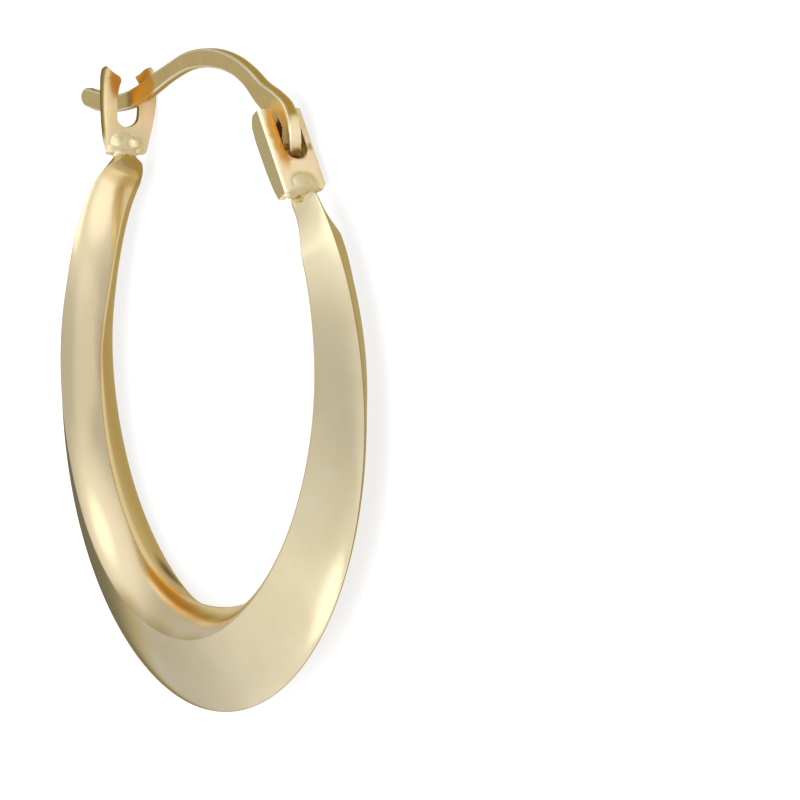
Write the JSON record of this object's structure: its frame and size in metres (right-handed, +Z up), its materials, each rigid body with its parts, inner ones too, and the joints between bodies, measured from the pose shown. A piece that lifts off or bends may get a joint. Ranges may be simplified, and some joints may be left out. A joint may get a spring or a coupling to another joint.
{
  "type": "hinged hoop earring",
  "caption": "Graduated hoop earring, polished and hollow, with a flat hinged ear wire that snaps into a notched catch.",
  "frame": {"origin": "centre of the bounding box's bottom, on the surface that the lying earring rests on", "axes": "+Y from the hoop's widest place to its closure, +X from the catch to the hinge, +Z up, through the lying hoop"},
  "size_m": [0.0226, 0.025, 0.0029],
  "materials": {
    "polished_gold": "polished",
    "satin_gold": "satin",
    "pin_gold": "satin"
  },
  "bodies": {
    "hoop": {"hoop": "polished_gold", "hinge_pin": "pin_gold"},
    "ear_wire": {"ear_wire": "satin_gold"}
  },
  "joints": [
    {"name": "wire_hinge", "type": "hinge", "parent": "hoop", "child": "ear_wire", "pos_m": [0.00551, 0.00909, 0.00122], "axis": [0, -0.014, -0.9999], "range_deg": [0, 60]}
  ]
}
